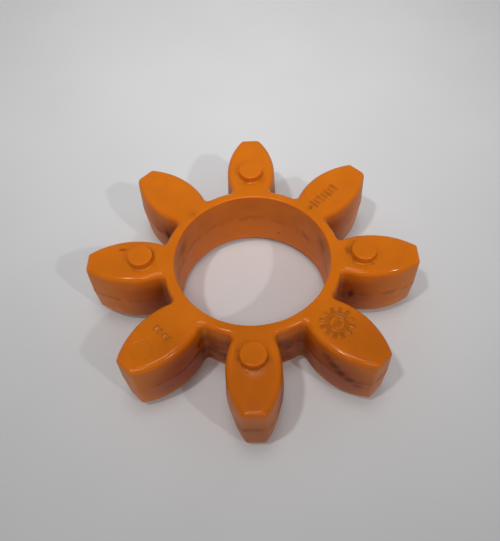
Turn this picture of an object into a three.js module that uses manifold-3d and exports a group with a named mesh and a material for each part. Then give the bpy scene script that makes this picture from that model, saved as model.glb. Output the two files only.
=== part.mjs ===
// Elastomer insert ("spider") of a jaw coupling: a ring with eight crowned teeth, injection
// moulded in one shot from polyurethane. Its teeth sit in the gaps between the jaws of two
// metal hubs and pass the torque from one hub to the other in compression. Round buttons stand
// on the teeth, on one face and then the other in turn, and keep the hubs' faces off the body.
//
// Millimetres. The axis of the bore is Z, and the origin is on it, halfway through the body.
// A tooth points along +X, and the teeth with a button on the upper face are on X and Y.

import * as THREE from 'three';
import { mergeVertices } from 'three/addons/utils/BufferGeometryUtils.js';
import Module from 'manifold-3d';

// Driving dimensions
const TOOTH_COUNT = 8;
const TIP_RADIUS = 47.5; // from the axis to the flat tip of a tooth
const BORE_RADIUS = 22.4;
const RING_RADIUS = 25.9; // outside of the ring, at the bottom of each gap
const BODY_WIDTH = 20.4; // between the two flat faces, along the axis
const TOOTH_WIDTH = 15.5; // at the widest place of the crown
const CROWN_POSITION = 34.25; // distance of that widest place from the axis
const FLANK_RADIUS = 22.7; // of the crowned side of a tooth, in plan
const ROOT_FILLET = 1.5; // in plan, where a flank meets the ring
const TIP_CORNER = 1.2; // in plan, where a flank meets the flat tip
const EDGE_INSET = 1.1; // how far the rounded edges of the body draw in at its faces
const EDGE_HEIGHT = 2.1; // how much of the width each rounded edge takes
const BUTTON_RADIUS = 3.6;
const BUTTON_HEIGHT = 2.3;
const BUTTON_POSITION = 31.75; // distance of a button's centre from the axis
const BUTTON_FILLET = 0.6; // where a button meets the face
const BUTTON_EDGE = 0.4; // rounding of a button's end

const COLOUR = 0xc8680f; // orange polyurethane, hardness 92 Shore A
const PITCH = (2 * Math.PI) / TOOTH_COUNT;

// How finely the round stretches are divided
const FLANK_STEPS = 8;
const ROOT_STEPS = 3;
const CORNER_STEPS = 3;
const RING_STEPS = 4;
const EDGE_STEPS = 3;
const BORE_STEPS = 72;
const BUTTON_STEPS = 20;
const BUTTON_ROUND_STEPS = 2;

function arc(centre, radius, from, to, clockwise, steps) {
  return new THREE.ArcCurve(centre.x, centre.y, radius, from, to, clockwise).getPoints(steps);
}

function angleFrom(centre, point) {
  return Math.atan2(point.y - centre.y, point.x - centre.x);
}

// Centre of the root fillet, which touches the ring and the flank from outside: the crossing,
// on the tooth's +Y side, of two circles about the axis and about the flank's centre.
function rootFilletCentre(flankCentre) {
  const fromAxis = RING_RADIUS + ROOT_FILLET;
  const fromFlank = FLANK_RADIUS + ROOT_FILLET;
  const apart = flankCentre.length();
  const along = (fromAxis ** 2 - fromFlank ** 2 + apart ** 2) / (2 * apart);
  const across = Math.sqrt(fromAxis ** 2 - along ** 2);
  const direction = flankCentre.clone().normalize();
  const sideways = new THREE.Vector2(-direction.y, direction.x);
  return direction.multiplyScalar(along).addScaledVector(sideways, across);
}

// The +Y half of the tooth that points along +X, from its tip to where its fillet meets the ring
function halfTooth() {
  const flankCentre = new THREE.Vector2(CROWN_POSITION, TOOTH_WIDTH / 2 - FLANK_RADIUS);
  const cornerX = TIP_RADIUS - TIP_CORNER;
  const cornerReach = FLANK_RADIUS - TIP_CORNER;
  const cornerRise = Math.sqrt(cornerReach ** 2 - (cornerX - flankCentre.x) ** 2);
  const cornerCentre = new THREE.Vector2(cornerX, flankCentre.y + cornerRise);
  const filletCentre = rootFilletCentre(flankCentre);
  const cornerEnd = angleFrom(flankCentre, cornerCentre);
  const flankEnd = angleFrom(flankCentre, filletCentre);
  const ringStart = filletCentre.angle();
  const corner = arc(cornerCentre, TIP_CORNER, 0, cornerEnd, false, CORNER_STEPS);
  const flank = arc(flankCentre, FLANK_RADIUS, cornerEnd, flankEnd, false, FLANK_STEPS);
  const filletFrom = flankEnd + Math.PI;
  const filletTo = ringStart + Math.PI;
  const fillet = arc(filletCentre, ROOT_FILLET, filletFrom, filletTo, true, ROOT_STEPS);
  return { points: [...corner, ...flank.slice(1), ...fillet.slice(1)], ringStart };
}

// The whole outline, anticlockwise: each tooth, then the stretch of ring up to the next tooth
function bodyOutline() {
  const axis = new THREE.Vector2(0, 0);
  const { points: upper, ringStart } = halfTooth();
  const lower = upper.map((point) => new THREE.Vector2(point.x, -point.y)).reverse();
  const ring = arc(axis, RING_RADIUS, ringStart, PITCH - ringStart, false, RING_STEPS).slice(1, -1);
  const sector = [...lower, ...upper, ...ring];
  const outline = [];
  for (let tooth = 0; tooth < TOOTH_COUNT; tooth += 1) {
    for (const point of sector) {
      outline.push(point.clone().rotateAround(axis, tooth * PITCH));
    }
  }
  return outline;
}

function bodyBlank() {
  const blank = new THREE.ExtrudeGeometry(new THREE.Shape(bodyOutline()), {
    depth: BODY_WIDTH - 2 * EDGE_HEIGHT,
    bevelThickness: EDGE_HEIGHT,
    bevelSize: EDGE_INSET,
    bevelOffset: -EDGE_INSET,
    bevelSegments: EDGE_STEPS,
  });
  return blank.translate(0, 0, EDGE_HEIGHT - BODY_WIDTH / 2);
}

function boreCore() {
  const length = 2 * BODY_WIDTH;
  return new THREE.CylinderGeometry(BORE_RADIUS, BORE_RADIUS, length, BORE_STEPS).rotateX(Math.PI / 2);
}

// A button turned about its own axis, with its foot sunk into the body so that they join
function button(tooth) {
  const sunk = 1;
  const foot = BUTTON_RADIUS + BUTTON_FILLET;
  const filletCentre = new THREE.Vector2(foot, BUTTON_FILLET);
  const edgeCentre = new THREE.Vector2(BUTTON_RADIUS - BUTTON_EDGE, BUTTON_HEIGHT - BUTTON_EDGE);
  const profile = [
    new THREE.Vector2(0, -sunk),
    new THREE.Vector2(foot, -sunk),
    ...arc(filletCentre, BUTTON_FILLET, 1.5 * Math.PI, Math.PI, true, BUTTON_ROUND_STEPS),
    ...arc(edgeCentre, BUTTON_EDGE, 0, Math.PI / 2, false, BUTTON_ROUND_STEPS),
    new THREE.Vector2(0, BUTTON_HEIGHT),
  ];
  const face = tooth % 2 === 0 ? 1 : -1;
  return new THREE.LatheGeometry(profile, BUTTON_STEPS)
    .rotateX((face * Math.PI) / 2)
    .translate(BUTTON_POSITION, 0, (face * BODY_WIDTH) / 2)
    .rotateZ(tooth * PITCH);
}

// Joining and cutting
const wasm = await Module();
wasm.setup();

function toSolid(geometry) {
  const bare = geometry.clone();
  bare.deleteAttribute('normal');
  bare.deleteAttribute('uv');
  const merged = mergeVertices(bare, 1e-4);
  const corners = merged.index.array;
  const triangles = [];
  for (let i = 0; i < corners.length; i += 3) {
    const [a, b, c] = corners.slice(i, i + 3);
    // a lathe leaves a triangle of no area at each pole
    if (a !== b && b !== c && c !== a) {
      triangles.push(a, b, c);
    }
  }
  const vertProperties = new Float32Array(merged.attributes.position.array);
  const triVerts = new Uint32Array(triangles);
  return new wasm.Manifold(new wasm.Mesh({ numProp: 3, vertProperties, triVerts }));
}

function toGeometry(solid) {
  const mesh = solid.getMesh();
  const geometry = new THREE.BufferGeometry();
  geometry.setAttribute('position', new THREE.BufferAttribute(mesh.vertProperties, 3));
  geometry.setIndex(new THREE.BufferAttribute(mesh.triVerts, 1));
  geometry.computeVertexNormals();
  return geometry;
}

function spiderGeometry() {
  let solid = toSolid(bodyBlank()).subtract(toSolid(boreCore()));
  for (let tooth = 0; tooth < TOOTH_COUNT; tooth += 1) {
    solid = solid.add(toSolid(button(tooth)));
  }
  return toGeometry(solid);
}

const polyurethane = new THREE.MeshStandardMaterial({
  color: COLOUR,
  roughness: 0.42,
  metalness: 0,
});

const spider = new THREE.Mesh(spiderGeometry(), polyurethane);
spider.name = 'spider';

const coupling = new THREE.Group();
coupling.add(spider);

export default coupling;
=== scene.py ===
"""Elastomer insert of a jaw coupling: one polyurethane moulding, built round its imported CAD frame."""

import math

import bmesh
import bpy
from bpy.props import FloatProperty, FloatVectorProperty, IntProperty, PointerProperty
from mathutils import Matrix, Vector, geometry, noise


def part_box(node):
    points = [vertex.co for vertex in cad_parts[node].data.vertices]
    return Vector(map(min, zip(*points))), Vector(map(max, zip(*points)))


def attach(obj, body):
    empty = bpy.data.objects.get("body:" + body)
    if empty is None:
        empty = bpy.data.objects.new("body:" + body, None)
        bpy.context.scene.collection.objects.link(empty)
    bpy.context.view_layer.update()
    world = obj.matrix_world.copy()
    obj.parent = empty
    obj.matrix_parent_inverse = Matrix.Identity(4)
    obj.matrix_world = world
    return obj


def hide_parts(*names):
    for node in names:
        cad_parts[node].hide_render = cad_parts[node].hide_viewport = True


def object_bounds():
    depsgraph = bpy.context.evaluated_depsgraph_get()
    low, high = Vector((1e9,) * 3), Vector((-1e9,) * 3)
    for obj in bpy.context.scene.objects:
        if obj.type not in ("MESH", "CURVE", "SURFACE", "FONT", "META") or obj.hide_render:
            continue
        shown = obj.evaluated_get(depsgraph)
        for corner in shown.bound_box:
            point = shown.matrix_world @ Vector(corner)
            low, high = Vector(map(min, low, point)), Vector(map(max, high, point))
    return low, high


bl_info = {
    "name": "Jaw coupling insert",
    "version": (1, 0, 0),
    "blender": (4, 5, 0),
    "location": "3D View > Sidebar > Coupling",
    "description": "Builds the toothed polyurethane insert of a jaw coupling, and a plain stage for it",
    "category": "Object",
}

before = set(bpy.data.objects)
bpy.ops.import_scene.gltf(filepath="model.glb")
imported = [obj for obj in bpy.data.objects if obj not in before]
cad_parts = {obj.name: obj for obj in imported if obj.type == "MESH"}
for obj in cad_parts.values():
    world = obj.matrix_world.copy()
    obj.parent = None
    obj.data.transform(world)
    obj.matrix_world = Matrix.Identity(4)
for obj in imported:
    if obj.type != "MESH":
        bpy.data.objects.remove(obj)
CAD_BOX = [list(corner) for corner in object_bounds()]
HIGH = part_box("spider")[1]

MM = 0.001
TAU = 2 * math.pi


def linear(code):
    """Turns an sRGB hex colour into linear red, green, blue and an alpha of 1."""
    channels = [int(code[i:i + 2], 16) / 255 for i in (1, 3, 5)]
    curve = [c / 12.92 if c <= 0.04045 else ((c + 0.055) / 1.055) ** 2.4 for c in channels]
    return (*curve, 1.0)


def length(name, description, default, **more):
    """A length property, in metres."""
    return FloatProperty(
        name=name, description=description, default=default, min=0.0,
        unit="LENGTH", subtype="DISTANCE", precision=5, **more,
    )


def degrees(name, description, default):
    """An angle property, given and shown in degrees and stored in radians."""
    return FloatProperty(name=name, description=description, default=math.radians(default), unit="ROTATION")


def colour(name, description, code):
    """A colour property whose default is an sRGB hex code."""
    return FloatVectorProperty(
        name=name, description=description, default=linear(code),
        size=4, min=0.0, max=1.0, subtype="COLOR",
    )


# ---------------------------------------------------------------------------
# What a user would change
# ---------------------------------------------------------------------------


class InsertSizes(bpy.types.PropertyGroup):
    """Sizes of the ring and its teeth."""

    tip_radius: length("Tip radius", "From the axis to the flat tip of a tooth", HIGH.x)
    width: length("Body width", "Between the two flat faces", 20.4 * MM)
    bore_radius: length("Bore radius", "Halfway through, beside the parting line", 22.15 * MM)
    ring_radius: length("Ring radius", "Outside of the ring, at the bottom of a gap", 25.9 * MM)
    tooth_width: length("Tooth width", "At the widest place of the crown", 15.5 * MM)
    crown_position: length("Crown position", "From the axis to the widest place", 34.25 * MM)
    flank_radius: length("Flank radius", "Of the crowned side of a tooth, in plan", 22.7 * MM)
    root_fillet: length("Root fillet", "Where a flank meets the ring, in plan", 1.3 * MM)
    tip_corner: length("Tip corner", "Where a flank meets the tip, in plan", 1.2 * MM)
    teeth: IntProperty(name="Teeth", description="Number of teeth", default=8, min=3)


class InsertEdges(bpy.types.PropertyGroup):
    """How the moulding rounds off and how its walls lean away from the parting line."""

    flank_round: length("Flank rounding", "Edge between a flank and a face", 1.8 * MM)
    ring_round: length("Ring rounding", "Edge between the ring and a face", 1.35 * MM)
    tip_round: length("Tip rounding", "Edge between a tip and the upper face", 1.2 * MM)
    bore_round: length("Bore rounding", "Edge between the bore and a face", 0.4 * MM)
    flank_draft: length("Flank draft", "How far a flank leans in, face to parting line", 0.45 * MM)
    tip_draft: length("Tip draft", "How far a tip leans in", 0.1 * MM)
    bore_draft: length("Bore draft", "How far the bore opens towards a face", 0.2 * MM)
    lower_flank_round: length("Lower flank rounding", "Edge between a flank and the lower face", 1.6 * MM)
    lower_tip_round: length("Lower tip rounding", "Edge between a tip and the lower face", 0.9 * MM)
    lower_draft: length("Lower draft", "How far a flank leans in below the parting line", 0.7 * MM)
    flash: length("Flash", "Height of the thin ridge left along the parting line", 0.04 * MM)
    sink: length("Sink", "How far a tooth's face has sunk in the middle as it cooled", 0.16 * MM)


class ButtonSizes(bpy.types.PropertyGroup):
    """Sizes of the round buttons that keep the hubs off the body."""

    radius: length("Radius", "Of a button's end", 3.6 * MM)
    position: length("Position", "From the axis to a button's centre", 31.75 * MM)
    fillet: length("Fillet", "Where a button meets the face", 0.55 * MM)
    edge_round: length("Edge rounding", "Of a button's end", 0.4 * MM)


class FinishColours(bpy.types.PropertyGroup):
    """Colours of the polyurethane and of what use has left on it, some of which also paint shade and light
    on it.
    """

    clean: colour("Clean", "Polyurethane on the faces", "#D5730B")
    rubbed: colour("Rubbed", "Flanks and bore, where hubs have rubbed", "#C8680E")
    # painted shade: this colour darkens the walls in the roots of the teeth and the teeth on the -Y side
    deep_shade: colour("Oily", "Roots of the teeth, where oil has soaked in", "#8E3205")
    # partly scuffs, partly painted light: a painted reflection of the bright floor on the lower walls and
    # tips, and painted lamp light on two flanks on the +Y side
    scuffed_and_lit: colour("Scuffed", "Tips and lower edges, scuffed pale", "#C48650")
    dusty: colour("Dusty", "Beside the moulded marks", "#8A4A10")
    # black dust and stains, and painted shade in the roots of the teeth and round the button feet
    grime_and_shade: colour("Grime", "Black dust and oil in corners", "#2E1A12")
    floor: colour("Floor", "Plain floor", "#DADADB")


class StageSettings(bpy.types.PropertyGroup):
    """Where the camera stands and how it frames the insert."""

    azimuth: degrees("Azimuth", "Camera, from -Y towards +X", 1.61)
    elevation: degrees("Elevation", "Camera, above the horizon", 56.15)
    roll: degrees("Roll", "Camera, clockwise", 2.86)
    distance: length("Distance", "Camera to the object's centre", 177.8 * MM)
    lens: FloatProperty(name="Lens", description="Focal length", default=39.52, unit="CAMERA")
    shift: FloatVectorProperty(
        name="Shift", description="Framing, as a share of the longer side",
        size=2, default=(-0.00566, 0.01076),
    )


# ---------------------------------------------------------------------------
# Shape of the moulding, in millimetres until it becomes a mesh
# ---------------------------------------------------------------------------

# steps that each curve of the outline takes
FLANK_STEPS = 22
CORNER_STEPS = 5
FILLET_STEPS = 6
RING_STEPS = 6
BORE_PER_TOOTH = 18
BUTTON_STEPS = 48

# steps up a wall, round the edge of a face, and up a button's fillet or rim
WALL_STEPS = 5
ROUND_STEPS = 8
BUTTON_ROUND_STEPS = 5

FILLET_GROWTH = 0.5  # the root fillet opens by this share of what the flank draws in
FLASH_THIN = 0.1  # height over the parting line where the flash has begun to thin
FLASH_SHARE = 0.75  # share of the flash that is left there
FLASH_END = 0.26  # height where it has run out
RIM = 0.12  # level strip between the rounding of an edge and the points inside the face
BUTTON_LEAN = 0.04  # how far the wall of a button leans in
BUTTON_RINGS = (0.8, 0.55, 0.28)  # rings on the end of a button, as shares of its radius


class Plan:
    """The sizes in millimetres, read once from the property groups."""

    def __init__(self, scene):
        for group in (scene.insert_sizes, scene.insert_edges):
            for name in group.__annotations__:
                value = getattr(group, name)
                setattr(self, name, value if isinstance(value, int) else value / MM)
        buttons = scene.button_sizes
        self.button_radius = buttons.radius / MM
        self.button_position = buttons.position / MM
        self.button_fillet = buttons.fillet / MM
        self.button_edge = buttons.edge_round / MM
        self.half = self.width / 2
        self.button_height = HIGH.z / MM - self.half
        self.pitch = TAU / self.teeth
        self.flank_centre = Vector((self.crown_position, self.tooth_width / 2 - self.flank_radius))
        self.button_foot = self.button_radius + self.button_fillet

    def half_width(self, along):
        """Half the width of a tooth at a distance along it, at the parting line."""
        reach = self.flank_radius ** 2 - (along - self.crown_position) ** 2
        return self.flank_centre.y + math.sqrt(max(reach, 0.0))

    def in_tooth(self, x, y):
        """Distance along the nearest tooth, offset to its side, and the tooth's number."""
        tooth = round(math.atan2(y, x) / self.pitch) % self.teeth
        spun = turned(Vector((x, y)), -tooth * self.pitch)
        return spun.x, spun.y, tooth

    def on_face(self, x, y, margin):
        """True where the flats of both faces reach, at least margin from their edges."""
        radius = math.hypot(x, y)
        if radius < self.bore_radius + self.bore_draft + self.bore_round + margin:
            return False
        if radius < self.ring_radius - self.ring_round - margin:
            return True
        along, side, _ = self.in_tooth(x, y)
        inset = max(self.flank_draft + self.flank_round, self.lower_draft + self.lower_flank_round) + margin
        tip = self.tip_radius - self.tip_draft - max(self.tip_round, self.lower_tip_round) - margin
        return along < tip and abs(side) < self.half_width(along) - inset


def turned(point, angle):
    """A plan point turned about the axis."""
    c, s = math.cos(angle), math.sin(angle)
    return Vector((point.x * c - point.y * s, point.x * s + point.y * c))


def arc(centre, radius, start, end, steps):
    """Points from start to end, both included."""
    angles = [start + (end - start) * i / steps for i in range(steps + 1)]
    return [centre + Vector((math.cos(a), math.sin(a))) * radius for a in angles]


def outline(plan, flank_in, ring_in, tip_in):
    """The outline at one level, anticlockwise, for the amounts that its walls draw in there.
    Each point is (place, share of the tip, share of the ring); the rest of it belongs to the flank."""
    flank = plan.flank_radius - flank_in
    ring = plan.ring_radius - ring_in
    corner_x = plan.tip_radius - tip_in - plan.tip_corner
    reach = flank - plan.tip_corner
    rise = math.sqrt(reach ** 2 - (corner_x - plan.flank_centre.x) ** 2)
    corner = Vector((corner_x, plan.flank_centre.y + rise))
    # the fillet's centre is as far from the ring and from the flank as its own radius
    fillet_radius = plan.root_fillet + flank_in * FILLET_GROWTH
    apart = plan.flank_centre.length
    to_ring = ring + fillet_radius
    to_flank = flank + fillet_radius
    along = (to_ring ** 2 - to_flank ** 2 + apart ** 2) / (2 * apart)
    across = math.sqrt(to_ring ** 2 - along ** 2)
    towards = plan.flank_centre.normalized()
    fillet = towards * along + Vector((-towards.y, towards.x)) * across

    corner_end = math.atan2(rise, corner_x - plan.flank_centre.x)
    from_flank = fillet - plan.flank_centre
    flank_end = math.atan2(from_flank.y, from_flank.x)
    ring_start = math.atan2(fillet.y, fillet.x)
    upper = []
    for i, p in enumerate(arc(corner, plan.tip_corner, 0, corner_end, CORNER_STEPS)):
        upper.append((p, 1 - i / CORNER_STEPS, 0))
    for p in arc(plan.flank_centre, flank, corner_end, flank_end, FLANK_STEPS)[1:]:
        upper.append((p, 0, 0))
    fillet_points = arc(fillet, fillet_radius, flank_end + math.pi, ring_start + math.pi, FILLET_STEPS)
    for i, p in enumerate(fillet_points[1:], 1):
        upper.append((p, 0, i / FILLET_STEPS))
    lower = [(Vector((p.x, -p.y)), tip, root) for p, tip, root in reversed(upper)]
    middle = arc(Vector((0, 0)), ring, ring_start, plan.pitch - ring_start, RING_STEPS)[1:-1]
    sector = lower + upper + [(p, 0, 1) for p in middle]
    points = []
    for tooth in range(plan.teeth):
        points += [(turned(p, tooth * plan.pitch), tip, root) for p, tip, root in sector]
    return points


def wall_levels(plan, rounding, draft):
    """(height, amount drawn in) from the parting line up to the face, for one kind of wall."""
    top = plan.half - rounding
    levels = [(0.0, -plan.flash), (FLASH_THIN, -plan.flash * FLASH_SHARE), (FLASH_END, 0.0)]
    start = levels[-1][0]
    for i in range(1, WALL_STEPS + 1):
        height = start + (top - start) * i / WALL_STEPS
        levels.append((height, draft * height / plan.half))
    leaned = draft * top / plan.half
    for i in range(1, ROUND_STEPS + 1):
        a = math.pi / 2 * i / ROUND_STEPS
        levels.append((top + rounding * math.sin(a), leaned + rounding * (1 - math.cos(a))))
    levels.append((plan.half, levels[-1][1] + RIM))
    return levels


def half_loops(plan, flank_round, flank_draft, tip_round):
    """Loops of (x, y, z) round the outside, from the parting line up to a face."""
    flanks = wall_levels(plan, flank_round, flank_draft)
    rings = wall_levels(plan, plan.ring_round, plan.flank_draft)
    tips = wall_levels(plan, tip_round, plan.tip_draft)
    loops = []
    for (flank_z, flank_in), (ring_z, ring_in), (tip_z, tip_in) in zip(flanks, rings, tips):
        loop = []
        for p, tip, root in outline(plan, flank_in, ring_in, tip_in):
            z = flank_z * (1 - tip - root) + tip_z * tip + ring_z * root
            loop.append(Vector((p.x, p.y, z)))
        loops.append(loop)
    return loops


def below(loops):
    """The loops turned down below the parting line, lowest first, without the line itself."""
    return [[Vector((p.x, p.y, -p.z)) for p in loop] for loop in reversed(loops[1:])]


def outer_loops(plan):
    """Loops round the outside, from the lower face up to the upper one."""
    upper = half_loops(plan, plan.flank_round, plan.flank_draft, plan.tip_round)
    lower = half_loops(plan, plan.lower_flank_round, plan.lower_draft, plan.lower_tip_round)
    return below(lower) + upper


def bore_loops(plan):
    """Loops round the bore, from the lower face up to the upper one."""
    count = BORE_PER_TOOTH * plan.teeth
    loops = []
    for z, drawn_in in wall_levels(plan, plan.bore_round, plan.bore_draft):
        circle = arc(Vector((0, 0)), plan.bore_radius + drawn_in, 0, TAU, count)[:-1]
        loops.append([Vector((p.x, p.y, z)) for p in circle])
    return below(loops) + loops


def button_loops(plan, tooth, side):
    """Loops of one button, from its foot on the face to the rim of its end and on to its middle."""
    centre = turned(Vector((plan.button_position, 0)), tooth * plan.pitch)
    quarter = [math.pi / 2 * i / BUTTON_ROUND_STEPS for i in range(BUTTON_ROUND_STEPS + 1)]
    profile = []
    for a in quarter:
        out = plan.button_foot - plan.button_fillet * math.sin(a)
        profile.append((out, plan.button_fillet * (1 - math.cos(a))))
    edge = plan.button_edge
    for a in quarter:
        out = plan.button_radius - edge + edge * math.cos(a) - BUTTON_LEAN
        profile.append((out, plan.button_height - edge + edge * math.sin(a)))
    for share in BUTTON_RINGS:
        profile.append((plan.button_radius * share, plan.button_height))
    loops = []
    for out, up in profile:
        circle = arc(centre, out, 0, TAU, BUTTON_STEPS)[:-1]
        loops.append([Vector((p.x, p.y, side * (plan.half + up))) for p in circle])
    return centre, loops


# ---------------------------------------------------------------------------
# Moulded marks, as heights above the upper face
# ---------------------------------------------------------------------------

# teeth are numbered anticlockwise from the one that points along +X, which is 0
DIAL_TOOTH, GRADE_TOOTH, CAVITY_TOOTH = 7, 1, 5
PIN_TEETH = (3, 5)

# centre of each mark, from the axis along its tooth
DIAL_ALONG = 31.5
GRADE_ALONG = 31.4
CAVITY_ALONG = 34.0
PIN_ALONG = 41.0

MARK_HEIGHT = 0.09
MARK_SLOPE = 0.2  # width of a mark's sloping side
MARK_MARGIN = 0.6  # how far round its patch a mark's distance is measured

# the date dial: its short marks, its circles as (radius, half width), and the two bars of its
# pointer as (place along, place across, half length, half width)
DIAL_MARKS = 12
DIAL_MARK_RADIUS = 3.95
DIAL_MARK_SIZE = (0.6, 0.28)
DIAL_CIRCLES = ((3.1, 0.08), (2.3, 0.12))
DIAL_TURN = math.radians(104)
DIAL_POINTER = ((0.0, 0.45, 1.55, 0.2), (-0.35, -0.55, 0.95, 0.17))

# the row of bars: distance between them, half lengths of every other bar, half width, and the dot
GRADE_PITCH = 1.55
GRADE_TALL, GRADE_SHORT = 1.35, 1.0
GRADE_WIDTH = 0.22
GRADE_DOT, GRADE_DOT_RADIUS = -6.3, 0.5

# the row of pads: distance between them, and their half sizes
CAVITY_PITCH = 1.65
CAVITY_SIZE = (0.62, 0.26)

# the groove round an ejector pin: its radius and depth, and where its side begins and ends
PIN_RADIUS = 2.8
PIN_DEPTH = 0.07
PIN_SIDE = (0.02, 0.26)

# where the sink of a tooth's face fades in: from the axis, from the tip and from the flank
SINK_FROM_AXIS = (25.5, 33.0)
SINK_FROM_TIP = (1.4, 8.0)
SINK_FROM_FLANK = (0.0, 4.5)

FAR = 10.0  # stands for any distance too large to matter


def bar(u, v, half_length, half_width):
    """Distance outside a bar that lies along u, negative inside it."""
    du, dv = abs(u) - half_length, abs(v) - half_width
    return max(du, dv) if du < 0 or dv < 0 else math.hypot(du, dv)


def dial(u, v):
    """Distance to a date dial: twelve short marks round a double circle, and a pointer inside it."""
    radius, around = math.hypot(u, v), math.atan2(v, u)
    step = TAU / DIAL_MARKS
    off = around - round(around / step) * step
    mark = bar(radius * math.cos(off) - DIAL_MARK_RADIUS, radius * math.sin(off), *DIAL_MARK_SIZE)
    circles = min(abs(radius - middle) - half_width for middle, half_width in DIAL_CIRCLES)
    a = u * math.cos(DIAL_TURN) + v * math.sin(DIAL_TURN)
    b = -u * math.sin(DIAL_TURN) + v * math.cos(DIAL_TURN)
    pointer = min(bar(a - along, b - across, *size) for along, across, *size in DIAL_POINTER)
    return min(mark, circles, pointer)


def grade_row(u, v):
    """Distance to a row of plain upright bars with a dot at its inner end."""
    place = min(max(round(u / GRADE_PITCH), -3), 3)
    half_length = GRADE_TALL if place % 2 else GRADE_SHORT
    upright = bar(v, u - place * GRADE_PITCH, half_length, GRADE_WIDTH)
    return min(upright, math.hypot(u - GRADE_DOT, v) - GRADE_DOT_RADIUS)


def cavity_row(u, v):
    """Distance to four small pads in a row across a tooth."""
    place = min(max(round(v / CAVITY_PITCH - 0.5), -2), 1) + 0.5
    return bar(u, v - place * CAVITY_PITCH, *CAVITY_SIZE)


# tooth, distance along it, half length and half width of the patch, and the shape raised there
MARKS = (
    (DIAL_TOOTH, DIAL_ALONG, 5.2, 5.2, dial),
    (GRADE_TOOTH, GRADE_ALONG, 7.2, 1.9, grade_row),
    (CAVITY_TOOTH, CAVITY_ALONG, 1.1, 3.6, cavity_row),
)


def mark_distance(plan, x, y):
    """Distance to the nearest raised mark on the upper face, large where there is none."""
    along, side, tooth = plan.in_tooth(x, y)
    for mark_tooth, mark_along, half_u, half_v, shape in MARKS:
        u = along - mark_along
        near = abs(u) < half_u + MARK_MARGIN and abs(side) < half_v + MARK_MARGIN
        if tooth == mark_tooth and near:
            return shape(u, side)
    return FAR


def pin_distance(plan, x, y):
    """Distance to the circle that an ejector pin has left near a tip, large where there is none."""
    along, side, tooth = plan.in_tooth(x, y)
    if tooth in PIN_TEETH:
        return abs(math.hypot(along - PIN_ALONG, side) - PIN_RADIUS)
    return FAR


def smooth(value, low, high):
    """0 below low, 1 above high, and a smooth step between."""
    t = min(max((value - low) / (high - low), 0.0), 1.0)
    return t * t * (3 - 2 * t)


def face_height(plan, x, y, side):
    """How far the face stands above its flat at a point: marks, pin circles and sink."""
    along, across, _ = plan.in_tooth(x, y)
    inside = plan.half_width(along) - plan.flank_draft - plan.flank_round - abs(across)
    bowl = smooth(along, *SINK_FROM_AXIS) * smooth(plan.tip_radius - along, *SINK_FROM_TIP)
    height = -plan.sink * (bowl * smooth(inside, *SINK_FROM_FLANK))
    if side > 0:
        height += MARK_HEIGHT * (1 - smooth(mark_distance(plan, x, y), -MARK_SLOPE / 2, MARK_SLOPE / 2))
        height -= PIN_DEPTH * (1 - smooth(pin_distance(plan, x, y), *PIN_SIDE))
    return height


# ---------------------------------------------------------------------------
# Mesh
# ---------------------------------------------------------------------------

# distance between the points inside a face: everywhere, under the marks and under the pin circles
FACE_GRID = 1.1
MARK_GRID = 0.17
PIN_GRID = 0.22
ROW_STEP = 0.866  # between the rows of the even grid, as a share of its spacing
EDGE_CLEARANCE = 0.55  # from its points to the edge of the face, as a share of its spacing
FOOT_CLEARANCE = 0.5  # and to the foot of a button
PATCH_MARGIN = 0.5  # between a fine grid and the even one, in mm
SAME_PLACE = 1e-6  # points this close are one for the triangulation
WELD = 0.002  # and this close are joined in the finished mesh

# unevenness of the whole skin: distance between its waves and their height, broad and close
BROAD_WAVE, BROAD_HEIGHT = 9.0, 0.05
CLOSE_WAVE, CLOSE_HEIGHT = 2.6, 0.012
CLOSE_START = Vector((40, 7, 3))

# the most that each kind of place is darkened: dust along the parting line and round pin circles, painted
# shade in the roots of the teeth and round the button feet
LINE_DIRT = 0.5
ROOT_SHADE = 0.6
FOOT_SHADE = 0.35
PIN_DIRT = 0.2
FACE_EDGE = 0.3  # the walls end this far below the faces


def add_loops(mesh, loops):
    """A tube of quads through all the loops."""
    rows = [[mesh.verts.new(p) for p in loop] for loop in loops]
    for low, high in zip(rows, rows[1:]):
        for i in range(len(low)):
            j = (i + 1) % len(low)
            mesh.faces.new((low[i], low[j], high[j], high[i]))
    return rows


def face_grid(plan, feet, side):
    """Points inside a face: an even grid, and finer grids under the moulded marks."""
    fine = []
    if side > 0:
        patches = [(tooth, along, half_u, half_v, MARK_GRID) for tooth, along, half_u, half_v, _ in MARKS]
        reach = PIN_RADIUS + PATCH_MARGIN
        patches += [(tooth, PIN_ALONG, reach, reach, PIN_GRID) for tooth in PIN_TEETH]
        for tooth, along, half_u, half_v, grid in patches:
            fine += patch_grid(plan, tooth, along, half_u, half_v, grid)
    spaces = []
    for tooth, along, half_u, half_v, _ in MARKS:
        spaces.append((tooth, along, half_u + PATCH_MARGIN, half_v + PATCH_MARGIN))
    for tooth in PIN_TEETH:
        reach = PIN_RADIUS + 2 * PATCH_MARGIN
        spaces.append((tooth, PIN_ALONG, reach, reach))
    points = []
    rows = int(plan.tip_radius / (FACE_GRID * ROW_STEP)) + 1
    columns = int(plan.tip_radius / FACE_GRID) + 1
    for row in range(-rows, rows + 1):
        for column in range(-columns, columns + 1):
            x = (column + 0.5 * (row % 2)) * FACE_GRID
            y = row * FACE_GRID * ROW_STEP
            if not plan.on_face(x, y, FACE_GRID * EDGE_CLEARANCE):
                continue
            clear = plan.button_foot + FACE_GRID * FOOT_CLEARANCE
            if any((Vector((x, y)) - foot).length < clear for foot in feet):
                continue
            along, across, tooth = plan.in_tooth(x, y)
            if side > 0 and any(
                tooth == t and abs(along - a) < half_u and abs(across) < half_v
                for t, a, half_u, half_v in spaces
            ):
                continue
            points.append(Vector((x, y)))
    return points + fine


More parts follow.
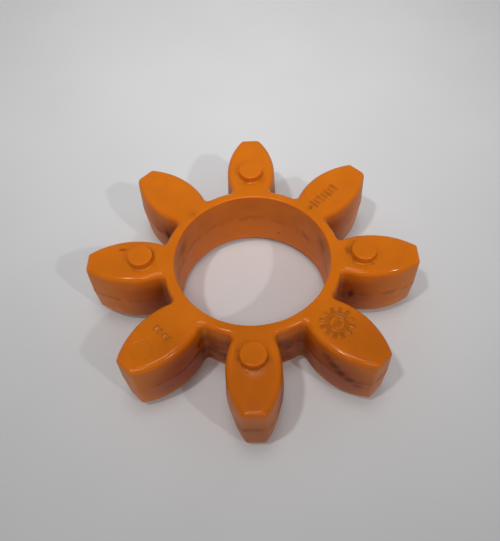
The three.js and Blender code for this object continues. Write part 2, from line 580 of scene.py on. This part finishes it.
def patch_grid(plan, tooth, along, half_u, half_v, grid):
    """A fine grid over a patch of a tooth's face."""
    points = []
    count_u, count_v = int(half_u / grid), int(half_v / grid)
    for i in range(-count_u, count_u + 1):
        for j in range(-count_v, count_v + 1):
            p = turned(Vector((along + i * grid, j * grid)), tooth * plan.pitch)
            if plan.on_face(p.x, p.y, grid):
                points.append(p)
    return points


def add_face(mesh, plan, rim, bore, feet, side):
    """One flat face between the rim, the bore and the feet of its buttons."""
    rings = [rim, bore] + [loop for _, loop in feet]
    centres = [centre for centre, _ in feet]
    points, edges = [], []
    for ring in rings:
        start, count = len(points), len(ring)
        points += [Vector((p.x, p.y)) for p in ring]
        edges += [(start + i, start + (i + 1) % count) for i in range(count)]
    fixed = len(points)
    points += face_grid(plan, centres, side)
    # 1 asks for triangles all over the rim's inside; those in the bore and the buttons are left out below
    flat, _, triangles, origins, _, _ = geometry.delaunay_2d_cdt(points, edges, [], 1, SAME_PLACE)
    verts = []
    for p, origin in zip(flat, origins):
        lift = 0.0 if origin and min(origin) < fixed else face_height(plan, p.x, p.y, side)
        verts.append(mesh.verts.new((p.x, p.y, side * (plan.half + lift))))
    bore_edge = bore[0].to_2d().length
    for triangle in triangles:
        middle = sum((flat[i] for i in triangle), Vector((0, 0))) / len(triangle)
        if middle.length < bore_edge:
            continue
        if any((middle - centre).length < plan.button_foot for centre in centres):
            continue
        order = triangle if side > 0 else list(reversed(triangle))
        mesh.faces.new([verts[i] for i in order])


def moulding_mesh(plan):
    """The whole moulding as one closed surface, in millimetres."""
    mesh = bmesh.new()
    outer = outer_loops(plan)
    bore = bore_loops(plan)
    add_loops(mesh, outer)
    add_loops(mesh, [list(reversed(loop)) for loop in bore])
    for side, rim, bore_rim in ((1, outer[-1], bore[-1]), (-1, outer[0], bore[0])):
        feet = []
        for tooth in range(0 if side > 0 else 1, plan.teeth, 2):
            centre, loops = button_loops(plan, tooth, side)
            feet.append((centre, loops[0]))
            rows = add_loops(mesh, loops)
            hub = mesh.verts.new((centre.x, centre.y, side * (plan.half + plan.button_height)))
            last = rows[-1]
            for i in range(len(last)):
                mesh.faces.new((last[i], last[(i + 1) % len(last)], hub))
        add_face(mesh, plan, rim, bore_rim, feet, side)
    bmesh.ops.remove_doubles(mesh, verts=mesh.verts, dist=WELD)
    bmesh.ops.recalc_face_normals(mesh, faces=mesh.faces)
    return mesh


def relax(mesh):
    """Takes the drawing-board look off: a worn moulding is nowhere quite flat."""
    mesh.normal_update()
    moves = []
    for vert in mesh.verts:
        broad = noise.noise(vert.co / BROAD_WAVE)
        close = noise.noise(vert.co / CLOSE_WAVE + CLOSE_START)
        moves.append(vert.normal * (BROAD_HEIGHT * broad + CLOSE_HEIGHT * close))
    for vert, move in zip(mesh.verts, moves):
        vert.co += move


def corner_dirt(plan, co):
    """How dark a place is made by its shape: 1 along the parting-line ridge, where dust lies, and in a
    corner, where shade is painted; 0 in the open.
    """
    along, across, tooth = plan.in_tooth(co.x, co.y)
    height = abs(co.z)
    radius = math.hypot(co.x, co.y)
    darkening = 0.0
    if height < plan.half - FACE_EDGE:
        # dust along the parting line, and painted shade in the roots of the teeth, darker low down
        darkening = LINE_DIRT * (1 - smooth(height, 0.12, 0.55))
        if radius > plan.bore_radius + 1.5:
            root = 1 - smooth(abs(radius - plan.ring_radius - 0.5), 0.3, 1.8)
            darkening = max(darkening, ROOT_SHADE * root * smooth(plan.half - co.z, 2.0, 9.0))
    elif (tooth % 2 == 0) == (co.z > 0) and height < plan.half + 1.2:
        # painted shade round the foot of a button; the even teeth have theirs above, the odd ones below
        foot = math.hypot(along - plan.button_position, across) - plan.button_radius
        darkening = FOOT_SHADE * (1 - smooth(abs(foot - 0.15), 0.2, 1.1))
    return darkening


def mark_dirt(plan, co):
    """How much the edges of the moulded marks hold at a place: 1 beside a mark, 0 away from them."""
    if co.z < plan.half - FACE_EDGE:
        return 0.0
    mark = 1 - smooth(abs(mark_distance(plan, co.x, co.y)), 0.05, 0.55)
    pin = 1 - smooth(pin_distance(plan, co.x, co.y), 0.05, 0.3)
    return max(mark, PIN_DIRT * pin)


# ---------------------------------------------------------------------------
# Materials
# ---------------------------------------------------------------------------

# the bore's wall lies inside the first radius and what the jaws rub lies outside the second
BORE_SIDE, JAW_SIDE = 23 * MM, 25 * MM

# painted shade over the teeth on the -Y side, laid on in the deep shade colour: centre and radii in mm, and
# how far it hides the dye
NEAR_SHADE = (
    ((0.5, -40.0, 9.0), (9.5, 12.0, 5.0), 0.28),
    ((31.0, -29.0, 9.0), (11.0, 11.0, 5.0), 0.25),
    ((8.5, -36.0, 0.0), (4.5, 13.0, 10.0), 0.9),
    ((0.0, -47.0, -3.0), (8.0, 4.0, 9.0), 0.7),
    ((-20.0, -30.0, -1.0), (10.0, 10.0, 10.0), 0.85),
    ((23.0, -32.0, -1.0), (11.0, 9.0, 10.0), 0.75),
    ((0.0, -24.5, 10.0), (16.0, 5.0, 6.0), 0.15),
)

# pale places, given in the same way: worn spots near two tips, and painted lamp light on the flanks of the
# two teeth on the +Y side
WORN_AND_LIT = (
    ((-36.0, -31.2, -1.5), (2.4, 2.4, 5.0), 0.8),
    ((-41.0, -6.0, -9.0), (7.0, 4.0, 4.0), 0.45),
    ((30.0, 18.6, -3.0), (9.0, 9.0, 8.0), 0.4),
    ((-32.0, 16.0, -5.0), (9.0, 9.0, 6.0), 0.5),
)

# stains in corners, on faces and down the walls, given in the same way
STAINS = (
    ((27.4, 1.2, 10.3), (1.3, 2.2, 0.8), 0.45),
    ((28.6, -2.2, 10.3), (0.8, 1.6, 0.8), 0.35),
    ((33.6, -3.6, 10.3), (2.0, 0.8, 0.8), 0.35),
    ((-37.5, 3.6, 10.2), (1.5, 0.7, 0.8), 0.75),
    ((-1.6, -35.9, 10.2), (0.5, 0.4, 0.8), 0.8),
    ((28.5, -7.0, 0.0), (1.6, 1.8, 3.6), 0.95),
    ((44.0, -5.5, -0.3), (1.8, 1.5, 0.9), 0.5),
    ((-26.5, 16.1, 0.5), (1.6, 1.6, 3.6), 0.85),
    ((-17.6, 16.2, 10.2), (2.2, 2.0, 0.8), 0.2),
    ((-14.9, -24.4, 3.6), (1.0, 1.2, 2.6), 0.6),
    ((19.5, -29.8, 5.5), (2.4, 2.4, 2.2), 0.5),
    ((21.2, -31.2, 3.6), (3.0, 3.0, 2.6), 0.75),
    ((23.2, -32.6, 1.8), (3.0, 3.0, 2.6), 0.8),
    ((25.2, -33.9, 0.0), (3.0, 3.0, 2.6), 0.75),
    ((27.2, -35.2, -2.2), (2.6, 2.6, 2.2), 0.5),
    ((-15.4, -25.1, 0.9), (1.6, 2.2, 0.7), 0.9),
    ((-16.4, -26.6, 0.5), (1.6, 2.2, 0.7), 0.95),
    ((-17.4, -28.1, 0.0), (1.4, 1.8, 0.6), 0.8),
    ((8.5, 20.7, -5.7), (0.9, 0.8, 0.8), 0.6),
    ((17.8, 17.2, 10.2), (0.9, 0.9, 0.6), 0.3),
    ((21.0, 8.0, 4.5), (2.0, 6.0, 4.5), 0.4),
    ((-21.0, 8.0, 4.5), (2.0, 7.0, 4.5), 0.4),
    ((6.0, 22.2, 1.0), (9.0, 1.0, 0.8), 0.35),
)

# a patch, for stains, painted shade and painted light, is full up to the first share of its radii and has
# faded out at the second
PATCH_FULL, PATCH_END = 0.45, 1.45
PALE_UNEVEN = 0.3  # how much the pale places shrink, as a share of their radii
GRAINS_UNEVEN = 0.9  # how far grains of dust break up the edge of a stain

# roughness of the faces, from glossy to satin, and what the rubbed walls, the black dust and the painted
# shade add to it
FACE_ROUGHNESS = (0.13, 0.23)
WALL_DULLER = 0.28
GRIME_DULLER = 0.25

# the skin lets light in: warm light goes far, blue hardly; its glints are warm under room lamps
GLINT_TINT = (1.0, 0.8, 0.6, 1.0)
SKIN_REACH = (1.0, 0.35, 0.08)
SKIN_DEPTH = 4 * MM


def add_node(tree, kind, inputs=None, **settings):
    """Adds a node with its settings. An input takes a plain value, a socket, or a node, whose first
    output in use is linked. A Map Range takes 0 from the range 1 to 2 over to the range 3 to 4."""
    made = tree.nodes.new(kind)
    for name, value in settings.items():
        setattr(made, name, value)
    for socket, value in (inputs or {}).items():
        if isinstance(value, bpy.types.Node):
            value = next(out for out in value.outputs if out.enabled)
        if isinstance(value, bpy.types.NodeSocket):
            tree.links.new(value, made.inputs[socket])
        else:
            made.inputs[socket].default_value = value
    return made


def new_material(name):
    """An empty node material with its output node."""
    material = bpy.data.materials.new(name)
    material.use_nodes = True
    tree = material.node_tree
    tree.nodes.clear()
    return material, tree, tree.nodes.new("ShaderNodeOutputMaterial")


def soft_patch(tree, place, uneven, centre, radii, depth):
    """One soft patch on the polyurethane, used for stains, painted shade and painted light: depth in its
    middle, fading to 0 round about its radii. What is given as uneven draws its edge in, as a share of them."""
    middle = [c * MM for c in centre]
    shares = [1 / (r * MM) for r in radii]
    offset = add_node(tree, "ShaderNodeVectorMath", {0: place, 1: middle}, operation="SUBTRACT")
    offset = add_node(tree, "ShaderNodeVectorMath", {0: offset, 1: shares}, operation="MULTIPLY")
    reach = add_node(tree, "ShaderNodeVectorMath", {0: offset}, operation="LENGTH").outputs["Value"]
    reach = add_node(tree, "ShaderNodeMath", {0: reach, 1: uneven}, operation="ADD")
    return add_node(tree, "ShaderNodeMapRange", {0: reach, 1: PATCH_END, 2: PATCH_FULL, 3: 0.0, 4: depth},
                    interpolation_type="SMOOTHSTEP")


def polyurethane():
    """Injection-moulded thermoplastic polyurethane, 92 Shore A, dyed orange: a soft semi-gloss skin
    that lets a little light in, browned and worn where the steel jaws have rubbed it, with painted
    shade in its roots, round its buttons and over the teeth on the -Y side, and painted light on its
    lower walls, its tips and two flanks on the +Y side."""
    colours = bpy.context.scene.finish_colours
    material, tree, output = new_material("moulded polyurethane")
    place = add_node(tree, "ShaderNodeTexCoord").outputs["Object"]
    normal = add_node(tree, "ShaderNodeNewGeometry").outputs["Normal"]
    # dust along the parting line, and painted shade in the roots of the teeth and round the button feet
    corner = add_node(tree, "ShaderNodeAttribute", attribute_name="corner_dirt").outputs["Fac"]
    marks = add_node(tree, "ShaderNodeAttribute", attribute_name="mark_dirt").outputs["Fac"]

    # 0 on the faces and 1 on every upright wall
    upright = add_node(tree, "ShaderNodeSeparateXYZ", {0: normal}).outputs["Z"]
    upright = add_node(tree, "ShaderNodeMath", {0: upright}, operation="ABSOLUTE")
    wall = add_node(tree, "ShaderNodeMapRange", {0: upright, 1: 0.8, 2: 0.25},
                    interpolation_type="SMOOTHSTEP")

    # distance from the axis; the jaws rub what lies outside the ring, and the bore only lightly
    outward = add_node(tree, "ShaderNodeVectorMath", {0: place, 1: (1.0, 1.0, 0.0)}, operation="MULTIPLY")
    outward = add_node(tree, "ShaderNodeVectorMath", {0: outward}, operation="LENGTH").outputs["Value"]
    jaw = add_node(tree, "ShaderNodeMapRange", {0: outward, 1: BORE_SIDE, 2: JAW_SIDE, 3: 0.2, 4: 1.0})

    # broad clouds about 11 mm across, where the dye looks a little lighter or darker
    cloud = add_node(tree, "ShaderNodeTexNoise", {"Vector": place, "Scale": 1 / (11 * MM), "Detail": 2.0})
    cloud = add_node(tree, "ShaderNodeMapRange", {0: cloud, 1: 0.3, 2: 0.7, 3: 0.94, 4: 1.05})
    clean = add_node(tree, "ShaderNodeHueSaturation", {"Color": colours.clean, "Value": cloud})

    # film that the jaws leave on the walls in patches about 6 mm across, which browns the orange
    patches = add_node(tree, "ShaderNodeTexNoise", {"Vector": place, "Scale": 1 / (6 * MM), "Detail": 4.0})
    patches = add_node(tree, "ShaderNodeMapRange", {0: patches, 1: 0.36, 2: 0.66, 3: 0.15, 4: 0.75})
    rubbed = wall
    for share in (patches, jaw):
        rubbed = add_node(tree, "ShaderNodeMath", {0: rubbed, 1: share}, operation="MULTIPLY")
    base = add_node(tree, "ShaderNodeMix", {0: rubbed, "A": clean, "B": colours.rubbed}, data_type="RGBA")

    # painted shade darkens the walls in the roots of the teeth to red-brown, fullest below about 3.5 mm
    # above the parting line
    height = add_node(tree, "ShaderNodeSeparateXYZ", {0: place}).outputs["Z"]
    deep_shade = add_node(tree, "ShaderNodeMapRange", {0: outward, 1: 42 * MM, 2: 28 * MM},
                    interpolation_type="SMOOTHSTEP")
    covered = add_node(tree, "ShaderNodeMapRange", {0: height, 1: 8.5 * MM, 2: 3.5 * MM},
                       interpolation_type="SMOOTHSTEP")
    outside = add_node(tree, "ShaderNodeMapRange", {0: outward, 1: BORE_SIDE, 2: JAW_SIDE, 3: 0.0, 4: 0.75})
    for share in (covered, wall, outside):
        deep_shade = add_node(tree, "ShaderNodeMath", {0: deep_shade, 1: share}, operation="MULTIPLY")
    # painted shade over the teeth on the -Y side, which darkens them
    for spot in NEAR_SHADE:
        soaked = soft_patch(tree, place, 0.0, *spot)
        deep_shade = add_node(tree, "ShaderNodeMath", {0: deep_shade, 1: soaked}, operation="MAXIMUM")
    base = add_node(tree, "ShaderNodeMix", {0: deep_shade, "A": base, "B": colours.deep_shade}, data_type="RGBA")

    # the hub's rim leaves a brown film round the upper half of the bore
    film = add_node(tree, "ShaderNodeMapRange", {0: outward, 1: JAW_SIDE, 2: BORE_SIDE, 3: 0.0, 4: 0.35})
    upper = add_node(tree, "ShaderNodeMapRange", {0: height, 1: -1.5 * MM, 2: 2 * MM},
                     interpolation_type="SMOOTHSTEP")
    for share in (upper, wall, patches):
        film = add_node(tree, "ShaderNodeMath", {0: film, 1: share}, operation="MULTIPLY")
    base = add_node(tree, "ShaderNodeMix", {0: film, "A": base, "B": colours.dusty}, data_type="RGBA")

    # the tips and the lower walls are made pale and dull: partly scuffs, partly painted light from the
    # bright floor, paler towards the lower face
    outer = add_node(tree, "ShaderNodeMapRange", {0: outward, 1: 40 * MM, 2: 48 * MM, 3: 0.0, 4: 0.6})
    lower = add_node(tree, "ShaderNodeMapRange", {0: height, 1: -3 * MM, 2: -12 * MM, 3: 0.0, 4: 0.4})
    scuffed_and_lit = add_node(tree, "ShaderNodeMath", {0: outer, 1: lower}, operation="MAXIMUM")
    for share in (patches, wall, jaw):
        scuffed_and_lit = add_node(tree, "ShaderNodeMath", {0: scuffed_and_lit, 1: share}, operation="MULTIPLY")
    # worn spots near two tips, and painted lamp light on the flanks of the two teeth on the +Y side
    for spot in WORN_AND_LIT:
        pale_patch = soft_patch(tree, place, PALE_UNEVEN, *spot)
        scuffed_and_lit = add_node(tree, "ShaderNodeMath", {0: scuffed_and_lit, 1: pale_patch}, operation="MAXIMUM")
    base = add_node(tree, "ShaderNodeMix", {0: scuffed_and_lit, "A": base, "B": colours.scuffed_and_lit}, data_type="RGBA")

    # brown dust rubbed into the moulded marks, which makes their low relief readable
    dusty = add_node(tree, "ShaderNodeTexNoise", {"Vector": place, "Scale": 1 / (2.5 * MM), "Detail": 3.0})
    dusty = add_node(tree, "ShaderNodeMapRange", {0: dusty, 1: 0.3, 2: 0.6, 3: 0.15, 4: 0.65})
    dusty = add_node(tree, "ShaderNodeMath", {0: dusty, 1: marks}, operation="MULTIPLY")
    base = add_node(tree, "ShaderNodeMix", {0: dusty, "A": base, "B": colours.dusty}, data_type="RGBA")

    # dust along the parting line and painted shade in the corners, both in streaks, and stains broken up by
    # grains about 1 mm across
    grains = add_node(tree, "ShaderNodeTexNoise", {
        "Vector": place, "Scale": 1 / (1.1 * MM), "Detail": 4.0, "Roughness": 0.7})
    streaks = add_node(tree, "ShaderNodeTexNoise", {
        "Vector": place, "Scale": 1 / (4.5 * MM), "Detail": 4.0, "Roughness": 0.65})
    streaks = add_node(tree, "ShaderNodeMapRange", {0: streaks, 1: 0.42, 2: 0.68},
                       interpolation_type="SMOOTHSTEP")
    grime_and_shade = add_node(tree, "ShaderNodeMath", {0: corner, 1: streaks}, operation="MULTIPLY")
    uneven = add_node(tree, "ShaderNodeMath", {0: grains, 1: GRAINS_UNEVEN}, operation="MULTIPLY")
    for spot in STAINS:
        dark = soft_patch(tree, place, uneven, *spot)
        grime_and_shade = add_node(tree, "ShaderNodeMath", {0: grime_and_shade, 1: dark}, operation="MAXIMUM")
    base = add_node(tree, "ShaderNodeMix", {0: grime_and_shade, "A": base, "B": colours.grime_and_shade}, data_type="RGBA")

    # the faces shine most, the rubbed walls less and the black dust and painted shade least
    glossy, satin = FACE_ROUGHNESS
    rough = add_node(tree, "ShaderNodeMapRange", {0: patches, 1: 0.15, 2: 0.75, 3: glossy, 4: satin})
    for dull, duller in ((wall, WALL_DULLER), (grime_and_shade, GRIME_DULLER)):
        rough = add_node(tree, "ShaderNodeMath", {0: dull, 1: duller, 2: rough}, operation="MULTIPLY_ADD")

    # orange peel from the mould, about 0.7 mm across, softens the glints; scuffs about 2 mm across
    # break up the light on the walls
    peel = add_node(tree, "ShaderNodeTexNoise", {"Vector": place, "Scale": 1 / (0.7 * MM), "Detail": 3.0})
    bump = add_node(tree, "ShaderNodeBump", {"Height": peel, "Strength": 0.25, "Distance": 0.03 * MM})
    scuffs = add_node(tree, "ShaderNodeTexNoise", {
        "Vector": place, "Scale": 1 / (2.2 * MM), "Detail": 5.0, "Roughness": 0.7})
    scuffs = add_node(tree, "ShaderNodeMath", {0: scuffs, 1: wall}, operation="MULTIPLY")
    bump = add_node(tree, "ShaderNodeBump", {
        "Height": scuffs, "Strength": 0.5, "Distance": 0.12 * MM, "Normal": bump})

    shader = add_node(tree, "ShaderNodeBsdfPrincipled", {
        "Base Color": base, "Roughness": rough, "Normal": bump,
        "IOR": 1.5, "Specular IOR Level": 0.3, "Specular Tint": GLINT_TINT,
        "Subsurface Weight": 0.6, "Subsurface Radius": SKIN_REACH, "Subsurface Scale": SKIN_DEPTH,
    })
    tree.links.new(shader.outputs["BSDF"], output.inputs["Surface"])
    return material


def floor_paint():
    """Painted bench top: matt, close to white, in clouds about 45 mm across that hardly show."""
    material, tree, output = new_material("matt bench paint")
    place = add_node(tree, "ShaderNodeTexCoord").outputs["Object"]
    uneven = add_node(tree, "ShaderNodeTexNoise", {"Vector": place, "Scale": 1 / (45 * MM)})
    value = add_node(tree, "ShaderNodeMapRange", {0: uneven, 1: 0.3, 2: 0.7, 3: 0.98, 4: 1.02})
    tint = add_node(tree, "ShaderNodeHueSaturation", {
        "Color": bpy.context.scene.finish_colours.floor, "Value": value})
    shader = add_node(tree, "ShaderNodeBsdfPrincipled", {"Base Color": tint, "Roughness": 0.55})
    tree.links.new(shader.outputs["BSDF"], output.inputs["Surface"])
    return material


# ---------------------------------------------------------------------------
# Stage
# ---------------------------------------------------------------------------

# name, place, the place it is aimed at, size, all in metres, power in watts, and the angle its grid lets out
LIGHTS = (
    ("overhead panel", (0.0, 0.02, 0.45), (0.0, 0.07, 0.0), 0.12, 0.040, 60),
    ("front panel", (0.0, -0.30, 0.55), (0.0, 0.28, 0.0), 0.15, 0.15, 44),
    ("key lamp", (-0.228, -0.180, 0.744), (0.0, 0.09, 0.0), 0.045, 0.145, 60),
    ("side lamp", (0.416, -0.384, 0.568), (0.0, 0.06, 0.0), 0.03, 0.029, 30),
)

# half the side of the floor, and how far it lies below the lower buttons, both in metres
FLOOR_SIZE = 2.5
FLOOR_GAP = 0.02 * MM

ROOM_LIGHT = 0.28  # strength of the even light from all round
SENSOR_WIDTH = 36  # of the camera, in mm
NEAREST = 0.01  # the camera sees nothing closer than this, in metres


def add_camera(scene):
    """The camera, aimed at the middle of the insert."""
    stage = scene.stage_settings
    across = Vector((math.sin(stage.azimuth), -math.cos(stage.azimuth), 0)) * math.cos(stage.elevation)
    back = across + Vector((0, 0, math.sin(stage.elevation)))
    right = Vector((math.cos(stage.azimuth), math.sin(stage.azimuth), 0))
    turn = Matrix((right, back.cross(right), back)).transposed().to_4x4()
    data = bpy.data.cameras.new("camera")
    data.lens = stage.lens
    data.sensor_width = SENSOR_WIDTH
    data.shift_x, data.shift_y = stage.shift
    data.clip_start = NEAREST
    camera = bpy.data.objects.new("camera", data)
    roll = Matrix.Rotation(-stage.roll, 4, "Z")
    camera.matrix_world = Matrix.Translation(back * stage.distance) @ turn @ roll
    scene.collection.objects.link(camera)
    scene.camera = camera


def add_floor(scene):
    """A plain bench top just under the lower buttons."""
    shape = bmesh.new()
    bmesh.ops.create_grid(shape, x_segments=8, y_segments=8, size=FLOOR_SIZE)
    data = bpy.data.meshes.new("floor")
    shape.to_mesh(data)
    shape.free()
    data.materials.append(floor_paint())
    floor = bpy.data.objects.new("floor", data)
    floor.location.z = CAD_BOX[0][2] - FLOOR_GAP
    scene.collection.objects.link(floor)


def add_light(scene, name, place, aim, size, watts, grid):
    """One round lamp, aimed at a place, that the camera doesn't see."""
    data = bpy.data.lights.new(name, "AREA")
    data.shape = "DISK"
    data.size = size
    data.energy = watts
    data.spread = math.radians(grid)
    light = bpy.data.objects.new(name, data)
    light.location = place
    light.rotation_euler = (Vector(aim) - Vector(place)).to_track_quat("-Z", "Y").to_euler()
    light.visible_camera = False
    scene.collection.objects.link(light)


# ---------------------------------------------------------------------------
# Operators
# ---------------------------------------------------------------------------


class COUPLING_OT_moulding(bpy.types.Operator):
    """Build the insert: ring, teeth, buttons and moulded marks in one piece"""

    bl_idname = "coupling.moulding"
    bl_label = "Polyurethane insert"
    bl_options = {"REGISTER", "UNDO"}

    def execute(self, context):
        plan = Plan(context.scene)
        shape = moulding_mesh(plan)
        # dust along the parting line, and painted shade in the roots of the teeth and round the button feet,
        # kept on each point
        corners = shape.verts.layers.float.new("corner_dirt")
        marks = shape.verts.layers.float.new("mark_dirt")
        for vert in shape.verts:
            vert[corners] = corner_dirt(plan, vert.co)
            vert[marks] = mark_dirt(plan, vert.co)
        relax(shape)
        open_edges = sum(1 for edge in shape.edges if not edge.is_manifold)
        if open_edges:
            raise RuntimeError(f"the moulding isn't closed: {open_edges} edges")
        shape.transform(Matrix.Scale(MM, 4))
        for face in shape.faces:
            face.smooth = True
        data = bpy.data.meshes.new("spider_moulding")
        shape.to_mesh(data)
        shape.free()
        data.materials.append(polyurethane())
        piece = bpy.data.objects.new("spider_moulding", data)
        context.scene.collection.objects.link(piece)
        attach(piece, "root")
        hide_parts("spider")
        return {"FINISHED"}


class COUPLING_OT_stage(bpy.types.Operator):
    """Build the plain floor, the soft lights and the camera"""

    bl_idname = "coupling.stage"
    bl_label = "Stage"
    bl_options = {"REGISTER", "UNDO"}

    def execute(self, context):
        scene = context.scene
        add_camera(scene)
        add_floor(scene)
        for light in LIGHTS:
            add_light(scene, *light)
        world = bpy.data.worlds.new("soft room light")
        world.use_nodes = True
        background = world.node_tree.nodes["Background"]
        background.inputs["Color"].default_value = linear("#FFFFFF")
        background.inputs["Strength"].default_value = ROOM_LIGHT
        scene.world = world
        scene.view_settings.view_transform = "Standard"
        return {"FINISHED"}


class COUPLING_PT_panel(bpy.types.Panel):
    """Lists the insert's builders and sizes"""

    bl_idname = "COUPLING_PT_panel"
    bl_label = "Coupling insert"
    bl_space_type = "VIEW_3D"
    bl_region_type = "UI"
    bl_category = "Coupling"

    def draw(self, context):
        column = self.layout.column()
        for operator in OPERATORS:
            column.operator(operator.bl_idname)
        for name in GROUPS:
            group = getattr(context.scene, name)
            for prop in group.__annotations__:
                column.prop(group, prop)


OPERATORS = (COUPLING_OT_stage, COUPLING_OT_moulding)
GROUPS = {
    "insert_sizes": InsertSizes,
    "insert_edges": InsertEdges,
    "button_sizes": ButtonSizes,
    "finish_colours": FinishColours,
    "stage_settings": StageSettings,
}
CLASSES = (*GROUPS.values(), *OPERATORS, COUPLING_PT_panel)


def register():
    """Makes the sizes, the builders and the panel known to Blender."""
    for cls in CLASSES:
        bpy.utils.register_class(cls)
    for name, group in GROUPS.items():
        setattr(bpy.types.Scene, name, PointerProperty(type=group))


def unregister():
    """Takes them away again."""
    for name in GROUPS:
        delattr(bpy.types.Scene, name)
    for cls in reversed(CLASSES):
        bpy.utils.unregister_class(cls)


def main():
    """Builds the stage and the insert."""
    register()
    bpy.ops.coupling.stage()
    bpy.ops.coupling.moulding()


if __name__ == "__main__":
    main()
